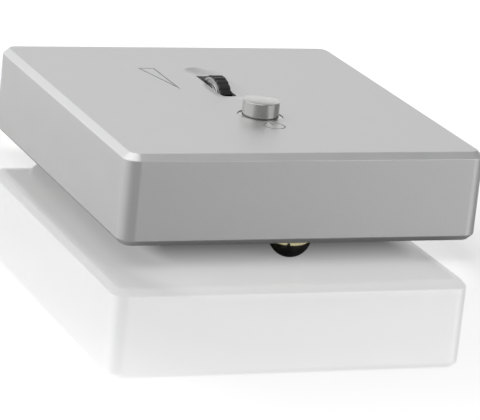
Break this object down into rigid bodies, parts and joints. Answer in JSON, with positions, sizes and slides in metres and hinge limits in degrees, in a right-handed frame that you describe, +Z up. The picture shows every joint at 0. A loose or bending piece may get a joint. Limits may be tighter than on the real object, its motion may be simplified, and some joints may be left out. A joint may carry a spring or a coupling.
{
  "type": "phono preamplifier",
  "caption": "Small flat aluminium phono preamplifier on bumper feet, with an edge-on volume wheel in a finger trough, a round power button on top and phono sockets behind.",
  "frame": {"origin": "middle of the footprint, sockets included, at the level the feet stand on", "axes": "+Z up, -Y towards the user at the front, +Y out of the sockets at the back, +X to the right"},
  "size_m": [0.085, 0.104, 0.0289],
  "materials": {
    "anodised_aluminium": "fine bead-blasted, silver anodised, satin",
    "turned_aluminium": "turned, silver anodised, bright satin",
    "black_rubber": "matt moulded, ribbed",
    "smoked_rubber": "smoky clear polyurethane, glossy",
    "black_plate": "black anodised plate, matt",
    "black_steel": "black oxide",
    "bright_steel": "zinc plated",
    "brass": "plain brass",
    "gold_plate": "gold plated, bright",
    "green_board": "green solder resist",
    "black_moulding": "black moulding",
    "white_plastic": "white moulding",
    "red_plastic": "red moulding",
    "red_film": "boxed film capacitor",
    "blue_sleeve": "shrink sleeve on an aluminium can",
    "blue_lacquer": "metal-film resistor lacquer"
  },
  "bodies": {
    "root": {"housing": "anodised_aluminium", "base_plate": "black_plate", "base_screws": "black_steel", "foot_front": "smoked_rubber", "foot_rear_left": "smoked_rubber", "foot_rear_right": "smoked_rubber", "circuit_board": "green_board", "board_standoffs": "brass", "board_screws": "bright_steel", "volume_control_body": "black_moulding", "switch_body": "black_moulding", "switch_spring": "bright_steel", "input_right_body": "black_moulding", "input_right_barrel": "gold_plate", "input_right_insert": "red_plastic", "input_right_contact": "gold_plate", "input_left_body": "black_moulding", "input_left_barrel": "gold_plate", "input_left_insert": "white_plastic", "input_left_contact": "gold_plate", "output_right_body": "black_moulding", "output_right_barrel": "gold_plate", "output_right_insert": "red_plastic", "output_right_contact": "gold_plate", "output_left_body": "black_moulding", "output_left_barrel": "gold_plate", "output_left_insert": "white_plastic", "output_left_contact": "gold_plate", "inlet_body": "black_moulding", "inlet_pin": "bright_steel", "earth_post": "gold_plate", "earth_inner_nut": "gold_plate", "selector_body": "black_moulding", "op_amps": "black_moulding", "film_capacitors": "red_film", "smoothing_capacitors": "blue_sleeve", "resistors": "blue_lacquer", "voltage_regulator": "black_moulding", "mute_relay": "white_plastic"},
    "volume_wheel": {"wheel_hub": "turned_aluminium", "wheel_tyre": "black_rubber", "volume_shaft": "bright_steel"},
    "power_button": {"power_button": "turned_aluminium", "switch_plunger": "white_plastic"},
    "selector_key": {"selector_key": "white_plastic"},
    "earth_washer": {"earth_washer": "gold_plate"},
    "earth_nut": {"earth_nut": "gold_plate"}
  },
  "joints": [
    {"name": "volume_turn", "type": "hinge", "parent": "root", "child": "volume_wheel", "pos_m": [0.00015, 0.0068, 0.019], "axis": [1, 0, 0], "range_deg": [-150, 150]},
    {"name": "power_press", "type": "slide", "parent": "root", "child": "power_button", "axis": [0, 0, -1], "range_m": [0, 0.0018], "stiffness_N_per_m": 400, "springref_m": -0.002, "deforming": ["switch_spring"]},
    {"name": "cartridge_select", "type": "slide", "parent": "root", "child": "selector_key", "axis": [1, 0, 0], "range_m": [0, 0.0025]},
    {"name": "earth_clamp", "type": "slide", "parent": "root", "child": "earth_washer", "axis": [0, 1, 0], "range_m": [0, 0.0021]},
    {"name": "earth_nut_turn", "type": "hinge", "parent": "earth_washer", "child": "earth_nut", "pos_m": [0.005, 0.045, 0.0158], "axis": [0, -1, 0], "range_deg": [0, 1080]}
  ],
  "couplings": [
    {"joint": "earth_nut_turn", "follows": "earth_clamp", "rad_per_m": 8976}
  ]
}
